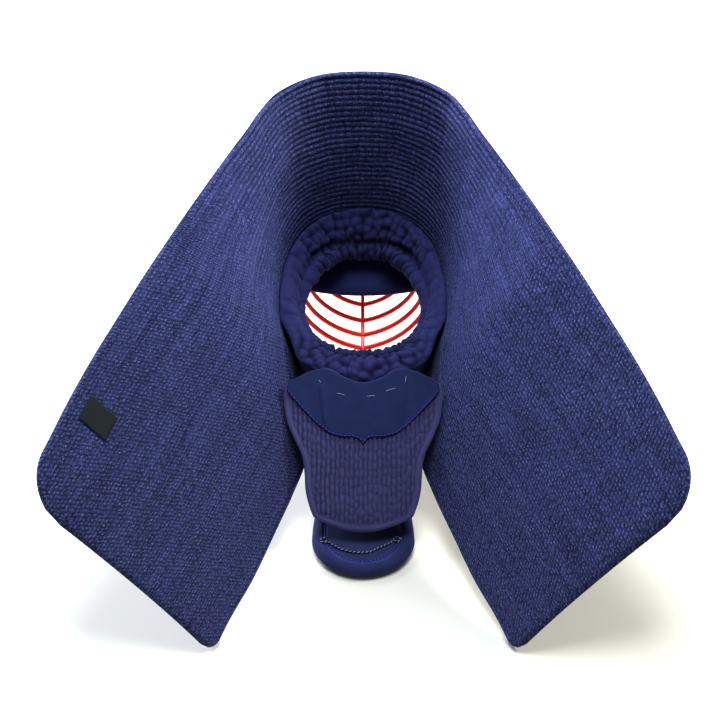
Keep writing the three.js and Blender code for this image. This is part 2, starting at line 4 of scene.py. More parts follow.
import bpy
import numpy as np
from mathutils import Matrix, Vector


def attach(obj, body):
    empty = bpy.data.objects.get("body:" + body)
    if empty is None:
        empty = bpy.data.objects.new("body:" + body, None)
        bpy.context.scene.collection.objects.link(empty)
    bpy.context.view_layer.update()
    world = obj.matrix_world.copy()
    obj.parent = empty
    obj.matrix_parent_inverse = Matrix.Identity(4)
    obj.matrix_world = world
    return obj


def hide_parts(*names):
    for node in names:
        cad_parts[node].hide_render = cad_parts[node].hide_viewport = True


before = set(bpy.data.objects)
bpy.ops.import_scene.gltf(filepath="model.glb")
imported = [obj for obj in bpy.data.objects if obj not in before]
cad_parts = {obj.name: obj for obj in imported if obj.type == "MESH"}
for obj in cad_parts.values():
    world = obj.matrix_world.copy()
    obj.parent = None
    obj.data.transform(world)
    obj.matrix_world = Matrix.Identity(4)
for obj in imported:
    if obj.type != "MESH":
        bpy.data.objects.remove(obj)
scene = bpy.context.scene
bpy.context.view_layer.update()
print("frame loaded:", len(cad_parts), "nodes")

# Sizes are millimetres and degrees until a mesh is made. The head pieces are drawn as worn, with
# Y out of the face and Z up, and then tipped forward as the helmet rests.
metres = 0.001
resting = dict(tip=78.7042, lift=86.692, forward=140.513)
seatGap = 0.4


def mix(a, b, share):
    return a + (b - a) * share


def smoothStep(value, low, high):
    share = np.clip((np.asarray(value, float) - low) / (high - low), 0, 1)
    return share * share * (3 - 2 * share)


def bell(value, middle, spread):  # 1 in the middle, and nearly 0 two spreads away from it
    return np.exp(-(((value - middle) / spread) ** 2))


def unit(vectors):
    return vectors / np.maximum(np.linalg.norm(vectors, axis=-1, keepdims=True), 1e-9)


def stack(x, y, z):
    return np.stack(np.broadcast_arrays(*(np.asarray(part, float) for part in (x, y, z))), axis=-1)


def walkedAlong(path):  # the distance from a path's start to each of its points
    return np.concatenate([[0], np.cumsum(np.linalg.norm(np.diff(path, axis=0), axis=1))])


def pointsAt(path, walked, at):
    return np.stack([np.interp(at, walked, path[:, k]) for k in range(path.shape[1])], axis=1)


def readColumn(rows, key, name, at):  # a table's value between its rows, with smooth joins
    keys = np.array([row[key] for row in rows], float)
    values = np.array([row[name] for row in rows], float)
    at = np.asarray(at, float)
    i = np.clip(np.searchsorted(keys, at, side="right") - 1, 0, len(keys) - 2)
    before, after = np.maximum(i - 1, 0), np.minimum(i + 2, len(keys) - 1)
    step = keys[i + 1] - keys[i]
    share = np.clip((at - keys[i]) / step, 0, 1)
    slopeLow = (values[i + 1] - values[before]) / (keys[i + 1] - keys[before])
    slopeHigh = (values[after] - values[i]) / (keys[after] - keys[i])
    squared, cubed = share**2, share**3
    low = (2 * cubed - 3 * squared + 1) * values[i] + (cubed - 2 * squared + share) * step * slopeLow
    high = (3 * squared - 2 * cubed) * values[i + 1] + (cubed - squared) * step * slopeHigh
    return low + high


def softCurve(points, at):  # a centripetal Catmull-Rom curve through points, at 0 to 1
    points = np.asarray(points, float)
    padded = np.vstack([2 * points[0] - points[1], points, 2 * points[-1] - points[-2]])
    place = np.clip(np.asarray(at, float), 0, 1) * (len(points) - 1)
    i = np.minimum(place.astype(int), len(points) - 2)
    share = (place - i)[..., None]
    p0, p1, p2, p3 = (padded[i + k] for k in range(4))
    spans = [np.linalg.norm(b - a, axis=-1, keepdims=True) for a, b in ((p0, p1), (p1, p2), (p2, p3))]
    d0, d1, d2 = (np.sqrt(np.maximum(span, 1e-6)) for span in spans)
    t1 = ((p1 - p0) / d0 - (p2 - p0) / (d0 + d1) + (p2 - p1) / d1) * d1
    t2 = ((p2 - p1) / d1 - (p3 - p1) / (d1 + d2) + (p3 - p2) / d2) * d1
    return p1 + t1 * share + (3 * (p2 - p1) - 2 * t1 - t2) * share**2 + (2 * (p1 - p2) + t1 + t2) * share**3


def cellReach(u, v, seed, period=64):  # distances to the two nearest cell centres of a loose grid
    table = np.random.default_rng(seed).random((128, 128, 2)) - 0.5
    nearest, second = np.full(np.shape(u), 9.0), np.full(np.shape(u), 9.0)
    cellU, cellV = np.floor(u).astype(int), np.floor(v).astype(int)
    for stepU in (-1, 0, 1):
        for stepV in (-1, 0, 1):
            a, b = cellU + stepU, cellV + stepV
            spot = table[a % period, b % 128] * 0.8
            away = np.hypot(a + 0.5 + spot[..., 0] - u, b + 0.5 + spot[..., 1] - v)
            second = np.minimum(second, np.maximum(nearest, away))
            nearest = np.minimum(nearest, away)
    return nearest, second


def puffs(u, v, seed):  # 0 in the creases between flat soft cells one unit wide, 1 on top of them
    nearest, second = cellReach(u, v, seed)
    return np.clip((second - nearest) * 1.5, 0, 1) ** 0.6


def domes(u, v, seed, period):  # the same with round tops, for loose padding
    return 1 - np.clip(cellReach(u, v, seed, period)[0] / 0.78, 0, 1) ** 2


def softNoise(u, v, seed):  # smooth noise from -1 to 1 with forms one unit wide
    table = np.random.default_rng(seed).random((64, 64)) * 2 - 1
    cellU, cellV = np.floor(u).astype(int), np.floor(v).astype(int)
    shareU, shareV = smoothStep(u - cellU, 0, 1), smoothStep(v - cellV, 0, 1)
    rows = [
        mix(table[cellU % 64, (cellV + k) % 64], table[(cellU + 1) % 64, (cellV + k) % 64], shareU)
        for k in (0, 1)
    ]
    return mix(rows[0], rows[1], shareV)


def toRest(points):  # from the way it is worn to the way it lies
    tip = math.radians(resting["tip"])
    x, y, z = (points[..., k] for k in range(3))
    return stack(
        x,
        y * math.cos(tip) + z * math.sin(tip) + resting["forward"],
        z * math.cos(tip) - y * math.sin(tip) + resting["lift"],
    )


def makeObject(name, points, faces, material, coords=None, tints=None):
    mesh = bpy.data.meshes.new(name)
    mesh.from_pydata((np.asarray(points).reshape(-1, 3) * metres).tolist(), [], faces)
    if coords is not None:  # where a point lies on the flat cloth in millimetres, and a share
        layer = mesh.attributes.new("clothCoords", "FLOAT_VECTOR", "POINT")
        layer.data.foreach_set("vector", np.asarray(coords, np.float32).ravel())
    if tints is not None:
        layer = mesh.attributes.new("tint", "FLOAT", "POINT")
        layer.data.foreach_set("value", np.asarray(tints, np.float32).ravel())
    mesh.polygons.foreach_set("use_smooth", [True] * len(mesh.polygons))
    mesh.materials.append(material)
    made = bpy.data.objects.new(name, mesh)
    scene.collection.objects.link(made)
    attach(made, "root")
    return made


def gridFaces(rows, columns, closedRows=False, closedColumns=False):
    faces = []
    for i in range(rows if closedRows else rows - 1):
        k = (i + 1) % rows
        for j in range(columns if closedColumns else columns - 1):
            m = (j + 1) % columns
            faces.append((i * columns + j, i * columns + m, k * columns + m, k * columns + j))
    return faces


def outwards(points, faces):  # turns all faces round if a closed mesh is inside out
    points = np.asarray(points).reshape(-1, 3)
    volume = 0
    for corners in (np.array([f[:3] for f in faces]), np.array([(f[0], f[-2], f[-1]) for f in faces])):
        a, b, c = (points[corners[:, k]] for k in range(3))
        volume += np.einsum("ij,ij->i", a, np.cross(b, c)).sum()
    return [face[::-1] for face in faces] if volume < 0 else faces


def skin(upper, lower):  # one closed skin from the two faces of a sheet
    loop = np.concatenate([upper, lower[:, ::-1]], axis=1)
    rows, width = loop.shape[:2]
    faces = gridFaces(rows, width, closedColumns=True)
    last = (rows - 1) * width
    for j in range(width // 2 - 1):
        k = width - 1 - j
        faces.append((j + 1, j, k, k - 1))
        faces.append((last + j, last + j + 1, last + k - 1, last + k))
    return loop, outwards(loop, faces)


def bothFaces(coords, shift=0):  # cloth coordinates for the two faces of a skin
    return np.concatenate([coords, coords[:, ::-1] + [shift, 0, 0]], axis=1)


def makeSkin(name, upper, lower, coords, material):  # the same cloth coordinates on both faces
    loop, faces = skin(upper, lower)
    return makeObject(name, loop, faces, material, coords=bothFaces(coords))


def closedNormals(grid):  # of a grid that closes both ways
    slopes = [np.roll(grid, -1, axis) - np.roll(grid, 1, axis) for axis in (0, 1)]
    return unit(np.cross(*slopes))


def closedTube(rows, sides):  # the faces of a tube with a lid at each end
    last = (rows - 1) * sides
    lids = [tuple(range(sides)), tuple(last + k for k in reversed(range(sides)))]
    return gridFaces(rows, sides, closedColumns=True) + lids


def makeTube(path, radius, sides):  # points, faces and outward normals of a round tube
    path = np.asarray(path, float)
    along = unit(np.gradient(path, axis=0))
    side = np.zeros_like(path)
    side[0] = unit(np.cross(along[0], [0.1, 0.2, 0.97]))
    for i in range(1, len(path)):
        side[i] = unit(side[i - 1] - along[i] * np.dot(side[i - 1], along[i]))
    up = np.cross(along, side)
    turn = np.linspace(0, 2 * math.pi, sides, endpoint=False)
    normals = side[:, None] * np.cos(turn)[:, None] + up[:, None] * np.sin(turn)[:, None]
    points = path[:, None] + normals * radius
    faces = outwards(points, closedTube(len(path), sides))
    return points.reshape(-1, 3), faces, normals.reshape(-1, 3)


def joinParts(parts):
    points, faces, first = [], [], 0
    for somePoints, someFaces, *_ in parts:
        points.append(np.asarray(somePoints).reshape(-1, 3))
        faces += [tuple(first + n for n in face) for face in someFaces]
        first += len(points[-1])
    return np.vstack(points), faces


def evenLoop(corners, count, passes):  # a closed outline in even steps, its corners worn round
    corners = np.asarray(corners, float)
    closed = np.vstack([corners, corners[:1]])
    lengths = walkedAlong(closed)
    at = np.linspace(0, lengths[-1], count, endpoint=False)
    loop = pointsAt(closed, lengths, at)
    for _ in range(passes):
        loop = 0.5 * loop + 0.25 * (np.roll(loop, 1, 0) + np.roll(loop, -1, 0))
    return loop


def fromHex(code):  # sRGB hex to the linear colour that a shader takes
    parts = [int(code[k:k + 2], 16) / 255 for k in (0, 2, 4)]
    return tuple(p / 12.92 if p <= 0.04045 else ((p + 0.055) / 1.055) ** 2.4 for p in parts) + (1.0,)


def addNode(tree, kind, inputs=None, **settings):  # gives the new node's outputs
    node = tree.nodes.new("ShaderNode" + kind)
    for name, value in settings.items():
        setattr(node, name, value)
    for name, value in (inputs or {}).items():
        if isinstance(value, bpy.types.NodeSocket):
            tree.links.new(value, node.inputs[name])
        else:
            node.inputs[name].default_value = value
    return node.outputs


def newMaterial(name, **finish):
    material = bpy.data.materials.new(name)
    material.use_nodes = True
    surface = material.node_tree.nodes["Principled BSDF"]
    for socket, value in finish.items():
        surface.inputs[socket.replace("_", " ")].default_value = value
    return material, material.node_tree, surface


def softCloth(name, roughness=0.92):  # matt, with the pale bloom of fine loose fibres
    return newMaterial(
        name, Roughness=roughness, Sheen_Weight=0.3, Sheen_Roughness=0.45, Sheen_Tint=fromHex("8088c4"),
        Specular_IOR_Level=0.2)


def ridges(tree, along, pitch):  # 0 at seams that lie a pitch apart, and 1 between them
    turned = addNode(tree, "Math", {0: along, 1: math.pi / pitch}, operation="MULTIPLY")[0]
    sine = addNode(tree, "Math", {0: turned}, operation="SINE")[0]
    return addNode(tree, "Math", {0: sine}, operation="ABSOLUTE")[0]


def wornCotton(name, dark, light, fleck, cell, relief, crown):
    # Sewn indigo cotton. The cells are the small pads between stitches and give the eye its basket grain,
    # and the pale flecks on the pad tops are painted thread highlights. Over the crown, longer pads sit on
    # the ribs.
    # cell and crown are the sizes of those pads in millimetres, along the cloth and across it.
    material, tree, surface = softCloth(name)
    coords = addNode(tree, "Attribute", attribute_name="clothCoords")["Vector"]
    parts = addNode(tree, "SeparateXYZ", {"Vector": coords})
    rowCount = addNode(tree, "Math", {0: parts["Y"], 1: cell[1]}, operation="DIVIDE")[0]
    columnCount = addNode(tree, "Math", {0: parts["X"], 1: cell[0]}, operation="DIVIDE")[0]
    # Each row's pads lie half a pad further on than the last row's, and the rows dip at their seams
    shifted = addNode(tree, "Math", {0: rowCount, 1: 0.5, 2: columnCount}, operation="MULTIPLY_ADD")[0]
    lattice = addNode(tree, "CombineXYZ", {"X": shifted, "Y": rowCount})[0]
    cells = addNode(
        tree, "TexVoronoi", {"Vector": lattice, "Scale": 1.0, "Randomness": 0.4}, voronoi_dimensions="2D")
    height = addNode(
        tree, "MapRange", {"Value": cells["Distance"], 1: 0.1, 2: 0.7, 3: 1.0, 4: 0.0},
        interpolation_type="SMOOTHSTEP")[0]
    rowTop = addNode(tree, "MapRange", {"Value": ridges(tree, rowCount, 1), 2: 0.75, 3: 0.2})[0]
    height = addNode(tree, "Math", {0: height, 1: rowTop}, operation="MULTIPLY")[0]
    # The crown's pads are sewn by hand, so their ends sway by some 9 mm over every 20 mm of cloth
    sway = addNode(tree, "TexNoise", {"Vector": coords, "Scale": 0.05, "Detail": 1.0})["Fac"]
    swayed = addNode(tree, "Math", {0: sway, 1: 9.0, 2: parts["X"]}, operation="MULTIPLY_ADD")[0]
    waves = [
        addNode(tree, "Math", {0: ridges(tree, along, pitch), 1: power}, operation="POWER")[0]
        for along, pitch, power in ((swayed, crown[0], 0.22), (parts["Y"], crown[1], 0.65))
    ]
    pads = addNode(tree, "Math", {0: waves[0], 1: waves[1]}, operation="MULTIPLY")[0]
    height = addNode(tree, "Mix", {"Factor": parts["Z"], "A": height, "B": pads})[0]
    # Worn streaks about 170 mm long and 8 mm wide. The yarn is about 0.5 mm thick, which is too fine to
    # show, so its grain is drawn at 1.3 mm.
    drawn = addNode(tree, "VectorMath", {0: coords, 1: (0.006, 0.13, 0.0)}, operation="MULTIPLY")[0]
    streaks = addNode(tree, "TexNoise", {"Vector": drawn, "Scale": 1.0, "Detail": 4.0})["Fac"]
    worn = addNode(tree, "MapRange", {"Value": streaks, 1: 0.3, 2: 0.7})[0]
    threads = addNode(tree, "TexNoise", {"Vector": coords, "Scale": 0.75, "Detail": 4.0})["Fac"]
    colour = addNode(tree, "MixRGB", {"Fac": worn, "Color1": fromHex(dark), "Color2": fromHex(light)})[0]
    # No two pads have quite the same tone, the seams and low places are painted darker as shade, and tint
    # brings in the painted light set on the mesh
    chance = addNode(tree, "SeparateXYZ", {"Vector": cells["Color"]})["X"]
    tone = addNode(tree, "MapRange", {"Value": chance, 3: 0.78, 4: 1.24})[0]
    recessShade = addNode(tree, "MapRange", {"Value": height, 3: 0.42, 4: 1.12})[0]
    paintedLight = addNode(tree, "Attribute", attribute_name="tint")["Fac"]
    for shade in (tone, recessShade, paintedLight):
        layers = {"Fac": 1.0, "Color1": colour, "Color2": shade}
        colour = addNode(tree, "MixRGB", layers, blend_type="MULTIPLY")[0]
    # Painted highlights: pale thread flecks on the tops of the pads
    threadHighlights = addNode(tree, "MapRange", {"Value": threads, 1: 0.5, 2: 0.68, 3: 0.0, 4: 0.75})[0]
    share = addNode(tree, "Math", {0: threadHighlights, 1: height}, operation="MULTIPLY")[0]
    colour = addNode(tree, "MixRGB", {"Fac": share, "Color1": colour, "Color2": fromHex(fleck)})[0]
    tree.links.new(colour, surface.inputs["Base Color"])
    fine = addNode(tree, "Bump", {"Height": threads, "Strength": 0.6, "Distance": 0.7 * metres})
    pressed = {"Height": height, "Strength": 1.0, "Distance": relief * metres, "Normal": fine[0]}
    bump = addNode(tree, "Bump", pressed)
    tree.links.new(bump[0], surface.inputs["Normal"])
    return material


def plainCotton(name, colour, light, crease, roughness=0.9, relief=0.4):
    # Close woven cotton. Its folds and creases are painted darker as shade where the third coordinate says,
    # and its colour drifts in patches of about 14 mm. The threads, 0.4 mm apart, are drawn at 0.9 mm to
    # show.
    material, tree, surface = softCloth(name, roughness)
    coords = addNode(tree, "Attribute", attribute_name="clothCoords")["Vector"]
    folded = addNode(tree, "SeparateXYZ", {"Vector": coords})["Z"]
    patches = addNode(tree, "TexNoise", {"Vector": coords, "Scale": 0.07, "Detail": 5.0})["Fac"]
    threads = addNode(tree, "TexNoise", {"Vector": coords, "Scale": 1.1, "Detail": 3.0})["Fac"]
    drift = {"Fac": patches, "Color1": fromHex(colour), "Color2": fromHex(light)}
    shade = addNode(tree, "MixRGB", drift)[0]
    # Painted shade: the crease colour, mixed in by the third coordinate
    shade = addNode(tree, "MixRGB", {"Fac": folded, "Color1": shade, "Color2": fromHex(crease)})[0]
    tree.links.new(shade, surface.inputs["Base Color"])
    bump = addNode(tree, "Bump", {"Height": threads, "Strength": 0.6, "Distance": relief * metres})
    tree.links.new(bump[0], surface.inputs["Normal"])
    return material


def plainThread(name, colour):
    # Thick cotton thread, a little shiny.
    return newMaterial(name, Base_Color=fromHex(colour), Roughness=0.6, Specular_IOR_Level=0.4)[0]


# The rim's outline, as worn: 0 degrees at the forehead, 90 at the side, 180 at the chin

rim = dict(halfWidth=84, halfHeight=125, centre=-5, squareness=2.2, sweep=8, width=5, depth=9)


def toRight(angle):  # the same place on the rim's right half
    return np.where(angle > 180, 360 - angle, angle)


def signedPower(value, exponent):
    return np.sign(value) * np.abs(value) ** exponent


def rimPoint(angle, inset=0, y=0):
    turn = np.radians(angle)
    sine = signedPower(np.sin(turn), 2 / rim["squareness"])
    cosine = signedPower(np.cos(turn), 2 / rim["squareness"])
    over = signedPower(sine, rim["squareness"] - 1) / rim["halfWidth"]
    up = signedPower(cosine, rim["squareness"] - 1) / rim["halfHeight"]
    size = np.hypot(over, up)
    return stack(
        rim["halfWidth"] * sine - inset * over / size,
        y - rim["sweep"] * sine**2,
        rim["centre"] + rim["halfHeight"] * cosine - inset * up / size,
    )


def rimHalfWidthAt(height, inset=0):
    share = np.abs((height - rim["centre"]) / (rim["halfHeight"] - inset))
    power = rim["squareness"]
    return (rim["halfWidth"] - inset) * np.maximum(1 - share**power, 0) ** (1 / power)


# Quilted cloth. A row for each section of half of it, from the crown to the wing's end: the angle
# where its front edge is sewn to the rim, or else where that edge lies, and where its back edge lies.

cloth = dict(
    thickness=8, halfSpan=305, reach=216, rise=177, drop=425, frontRadius=18, backRadius=42,
    seat=0.7, edgeInset=1, cutWidth=240, rows=300, columns=150, outerShift=700,
    ribPitch=6.3, ribDepth=2.3, lumpDepth=0.8, seamInset=7, seamDepth=0.9,
    puckers=((-4, 2.0), (34, 2.4), (-38, 1.3), (-66, 0.9), (92, 1.0)),  # where, and how deep
)
# The label is sewn on the left wing, where the cloth lies flat
label = dict(size=28, thickness=0.9, place=-11.85, across=0.89, rowSpacing=52)
rowNames = ("rim", "frontOut", "frontReach", "frontDown", "backOut", "backReach", "backDown", "flare")
clothRows = [dict(zip(rowNames, row)) for row in [
    (0, 0, 0, 0, 0, 1, 0, 0.75),
    (21, 0, 0, 0, 0.163, 1, 0.012, 0.75),
    (44, 0, 0, 0, 0.298, 1, 0.06, 0.72),
    (61, 0, 0, 0, 0.356, 1, 0.113, 0.7),
    (75, 0, 0, 0, 0.4, 0.986, 0.161, 0.68),
    (91, 0, 0, 0, 0.456, 0.968, 0.218, 0.68),
    (111, 0, 0, 0, 0.53, 0.943, 0.297, 0.68),
    (128, 0, 0, 0, 0.59, 0.92, 0.362, 0.68),
    (None, 0.205, 0, 0.57, 0.651, 0.895, 0.43, 0.6),
    (None, 0.203, 0, 0.63, 0.708, 0.87, 0.495, 0.48),
    (None, 0.236, 0, 0.694, 0.764, 0.845, 0.565, 0.38),
    (None, 0.301, 0, 0.792, 0.836, 0.81, 0.655, 0.34),
    (None, 0.354, 0, 0.869, 0.893, 0.778, 0.736, 0.31),
    (None, 0.42, -0.009, 0.943, 0.945, 0.745, 0.819, 0.3),
    (None, 0.463, -0.023, 1, 1, 0.713, 0.887, 0.28),
]]
clothEnd = len(clothRows) - 1
sewnAngles = [row["rim"] for row in clothRows if row["rim"] is not None]
lastSewn = len(sewnAngles) - 1
clothInset = -(cloth["seat"] + cloth["thickness"] / 2)
clothFront = rim["depth"] / 2 - cloth["edgeInset"]


def edgePoints(out, reach, down):
    height = cloth["rise"] + cloth["drop"]
    return np.array([
        (row[out] * cloth["halfSpan"], -row[reach] * cloth["reach"], cloth["rise"] - row[down] * height)
        for row in clothRows
    ])


backPoints = edgePoints("backOut", "backReach", "backDown")
frontPoints = edgePoints("frontOut", "frontReach", "frontDown")
frontPoints[:lastSewn + 1] = rimPoint(np.array(sewnAngles), clothInset, clothFront)
mirror = np.array([-1, 1, 1])
backPoints, frontPoints = (np.vstack([edge[1] * mirror, edge]) for edge in (backPoints, frontPoints))


def clothSection(place):  # place counts the rows, from 0 at the crown
    share = (place + 1) / (clothEnd + 1)
    sewn = rimPoint(np.interp(place, range(lastSewn + 1), sewnAngles), clothInset, clothFront)
    front = np.where((place <= lastSewn)[..., None], sewn, softCurve(frontPoints, share))
    back = softCurve(backPoints, share)
    flare = np.interp(place, range(clothEnd + 1), [row["flare"] for row in clothRows])
    knee = (front + back) / 2
    for k in (0, 2):
        knee[..., k] = mix(knee[..., k], front[..., k], flare)
    return front, knee, back


def clothPoint(place, across):
    place, across = np.broadcast_arrays(np.asarray(place, float), np.asarray(across, float))
    front, knee, back = clothSection(np.abs(place))
    over = across[..., None]
    points = (1 - over) ** 2 * front + 2 * over * (1 - over) * knee + over**2 * back
    points[..., 0] *= np.where(place < 0, -1, 1)
    return points


def clothWidth(place):
    return np.linalg.norm(clothPoint(place, 0) - clothPoint(place, 1), axis=-1)


def clothOff(place, across, offset):  # a positive offset is on the outer side, away from the head
    step = 0.02
    at = np.clip(place, step - clothEnd, clothEnd - step)
    over = np.clip(across, step, 1 - step)
    along = clothPoint(at + step, over) - clothPoint(at - step, over)
    backwards = clothPoint(at, over + step) - clothPoint(at, over - step)
    normals = unit(np.cross(backwards, along))
    return clothPoint(place, across) + normals * np.asarray(offset, float)[..., None]


def quiltedCloth(material):
    fine = np.linspace(0, clothEnd, 1200)
    walked = walkedAlong(clothPoint(fine, 0.5))
    halfLength = walked[-1]
    turn = np.linspace(-1, 1, cloth["rows"])
    far = halfLength * np.sign(turn) * (0.94 * np.abs(turn) + 0.06 * np.sin(np.abs(turn) * math.pi / 2))
    place = np.sign(far) * np.interp(np.abs(far), walked, fine)
    fromEnd = (halfLength - np.abs(far))[:, None]
    width = clothWidth(place)[:, None]

    def cornerCut(radius):
        inside = np.maximum(radius - fromEnd, 0)
        return radius - np.sqrt(radius**2 - inside**2)

    low, high = cornerCut(cloth["frontRadius"]) / width, 1 - cornerCut(cloth["backRadius"]) / width
    edge = np.array([0, 0.25, 0.8, 1.6, 2.7]) / cloth["cutWidth"]
    share = np.concatenate([edge, np.linspace(0.017, 0.983, cloth["columns"] - 10), 1 - edge[::-1]])
    across = mix(low, high, share[None, :])
    place = place[:, None] + 0 * across
    u, v = far[:, None] + 0 * across, across * cloth["cutWidth"]
    fromEdge = np.minimum(np.minimum(share, 1 - share)[None, :] * width, fromEnd)
    half = cloth["thickness"] / 2
    rounded = half * np.sqrt(1 - (1 - np.clip(fromEdge / half, 0.02, 1)) ** 2)

    # Firm ribs over the crown, which flatten on the wings and by the sewn edges
    crown = 1 - smoothStep(np.abs(u), 120, 330)
    uneven = 1 + 0.35 * softNoise(u / 23 + 9, v / cloth["ribPitch"], 3)
    ribLine = v + 1.4 * softNoise(u / 40 + 5, v / 30, 8)
    rib = np.abs(np.sin(math.pi * ribLine / cloth["ribPitch"])) ** 0.7
    ribs = cloth["ribDepth"] * (rib - 1) * uneven * mix(0.2, 1, crown)
    lumps = puffs(u / 11 + 40, v / cloth["ribPitch"] + 3, 5) - 1
    lumps = cloth["lumpDepth"] * lumps * mix(0.3, 1, crown)
    puckers = sum(
        -depth * bell(u, at + 4 * np.sin(v / 25), 3.5) * smoothStep(v, 90, 130)
        for at, depth in cloth["puckers"]
    )
    edgeSeam = -cloth["seamDepth"] * bell(fromEdge, cloth["seamInset"], 1.6)
    # The free part is slack and sways a little, but not where it is sewn down or under the label
    loose = smoothStep(across, 0.25, 0.6) * smoothStep(fromEdge, 2, 30)
    besideLabel = (place - label["place"]) * label["rowSpacing"], v - label["across"] * cloth["cutWidth"]
    loose *= smoothStep(np.hypot(*besideLabel), 24, 48)
    sway = loose * (2.2 * softNoise(u / 48 + 20, v / 60 + 7, 11) + 0.9 * softNoise(u / 21 + 30, v / 26, 12))
    sway += 1.1 * loose * (1 - crown) * softNoise(u / 130 + 3, ribLine / 11 + 2, 13)
    inner = clothOff(place, across, -(rounded + (ribs + lumps + puckers + edgeSeam) * rounded / half) + sway)
    outerRibs = (0.5 * (rib - 1) + edgeSeam) * rounded / half
    outer = clothOff(place, across, rounded + outerRibs + sway)
    loop, faces = skin(toRest(inner), toRest(outer))
    coords = bothFaces(stack(u, ribLine, crown), cloth["outerShift"])
    # Painted light: the inner face is painted lighter where the cloth bends from the crown into a wing, a
    # painted highlight, and a little lighter over the crown. The outer face is drawn at 0.7 of its colour.
    paintedLight = mix(1, 1.05, crown) + 0.42 * bell(np.abs(u), 270, 110) * smoothStep(v, 20, 120)
    tints = np.concatenate([paintedLight, 0.7 + 0 * paintedLight], axis=1).ravel()
    made = makeObject("quiltedCloth", loop, faces, material, coords=coords, tints=tints)
    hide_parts("quilted_cloth")
    return made, 2 * halfLength


indigoQuilt = wornCotton(
    "indigo quilted cotton", "292f5c", "3c4576", "8890c8", (4.2, 3.0), 1.1, (7.5, cloth["ribPitch"]))
quilt, quiltLength = quiltedCloth(indigoQuilt)
print("quilted cloth:", round(quiltLength), "mm long,", len(quilt.data.polygons), "faces")


# Face ring: the padded ring that the face presses against, gathered at the forehead and chin

ring = dict(
    depth=60, lipRadius=7, around=640, sides=96, cells=64, cellLength=13, puff=11,
    crease=4.4, plump=2.0, lipCrease=2.4, lipPlump=2.2, lipByPad=7, valley=2.6,
)
ringNames = ("angle", "lip", "outer", "set", "swell")
ringRows = [dict(zip(ringNames, row)) for row in [
    (0, 0.38, -0.08, 0.32, 0.1),
    (45, 0.3, -0.06, 0.38, 0.11),
    (90, 0.22, -0.02, 0.5, 0.14),
    (118, 0.25, -0.04, 0.68, 0.17),
    (142, 0.33, -0.2, 0.8, 0.18),
    (162, 0.39, -0.1, 0.86, 0.16),
    (180, 0.42, -0.15, 0.88, 0.2),
]]


def ringOuter(angle):  # against the cloth where that is sewn, and free round the chin
    turn = toRight(angle)
    free = rimPoint(turn, rim["halfWidth"] * readColumn(ringRows, "angle", "outer", turn), -ring["depth"])
    place = np.interp(np.minimum(turn, sewnAngles[-1]), sewnAngles, range(lastSewn + 1))
    front, _, back = clothSection(place)
    over = (front[..., 1] + ring["depth"]) / (front[..., 1] - back[..., 1])
    held = clothOff(place, over, -(cloth["thickness"] / 2 + cloth["seat"]) + 0 * place)
    point = mix(held, free, smoothStep(turn, 112, 132)[..., None])
    point[..., 0] *= np.where(angle > 180, -1, 1)
    return point


def ringSections(angle):
    turn = toRight(angle)
    lip = rim["halfWidth"] * readColumn(ringRows, "angle", "lip", turn)
    backSet = ring["depth"] * readColumn(ringRows, "angle", "set", turn)
    swell = (ring["depth"] * readColumn(ringRows, "angle", "swell", turn))[:, None]
    radius = ring["lipRadius"]
    outer = ringOuter(angle)
    inner = rimPoint(angle, lip - radius, -backSet)
    outward = rimPoint(angle, -1) - rimPoint(angle, 0)
    bulge = swell * (stack(0 * angle, -0.8, 0) - 0.6 * outward)
    front = -(rim["depth"] / 2 + seatGap)
    lipFront = np.minimum(front, radius - backSet)
    start = rimPoint(angle, 1, front)
    return np.stack([
        start,
        mix(mix(start, outer, 0.5), rimPoint(angle, 2, -ring["depth"] / 2), 0.3),
        outer,
        mix(outer, inner, 0.3) + bulge,
        mix(outer, inner, 0.7) + bulge,
        rimPoint(angle, lip - radius, -backSet - radius * 0.9),
        rimPoint(angle, lip - radius * 0.25, -backSet - radius * 0.6),
        rimPoint(angle, lip, -backSet),
        rimPoint(angle, lip - radius * 0.3, lipFront),
        rimPoint(angle, lip - radius, np.minimum(front, lipFront + 3)),
        rimPoint(angle, rim["width"] + 1, front),
    ], axis=1)


